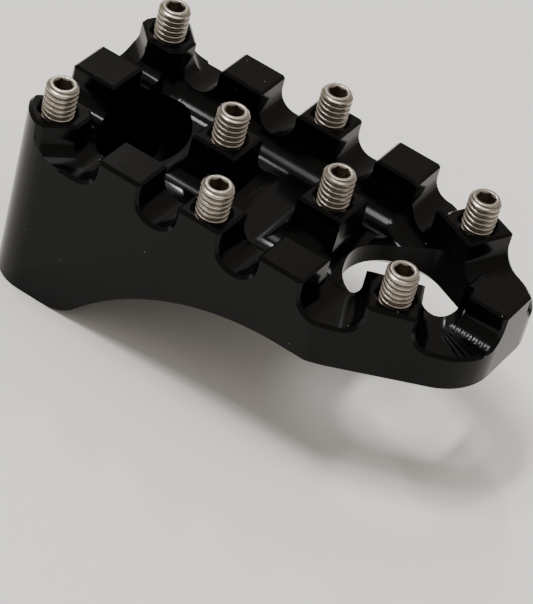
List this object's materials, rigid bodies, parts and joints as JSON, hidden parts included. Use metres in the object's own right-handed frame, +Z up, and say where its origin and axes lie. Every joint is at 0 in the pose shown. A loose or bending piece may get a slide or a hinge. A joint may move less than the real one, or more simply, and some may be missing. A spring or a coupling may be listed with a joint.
{
  "type": "toe peg",
  "caption": "Milled foot-control peg with a deep root end to bolt on, an arched underside, an open tip and a deck of square pads with grub-screw studs for grip.",
  "frame": {"origin": "middle of the bolting face at the root end, level with the two bolt holes", "axes": "+X from the bolting face out to the tip, +Z up through the studded deck, +Y to the left"},
  "size_m": [0.0757, 0.0384, 0.0345],
  "materials": {
    "black_anodised": "satin black anodised, milled",
    "stainless_steel": "bright plain steel thread"
  },
  "bodies": {
    "root": {"peg_body": "black_anodised", "stud_centre_root": "stainless_steel", "stud_centre_tip": "stainless_steel", "stud_root_left": "stainless_steel", "stud_root_right": "stainless_steel", "stud_side_left": "stainless_steel", "stud_side_right": "stainless_steel", "stud_tip_left": "stainless_steel", "stud_tip_right": "stainless_steel"}
  },
  "joints": []
}
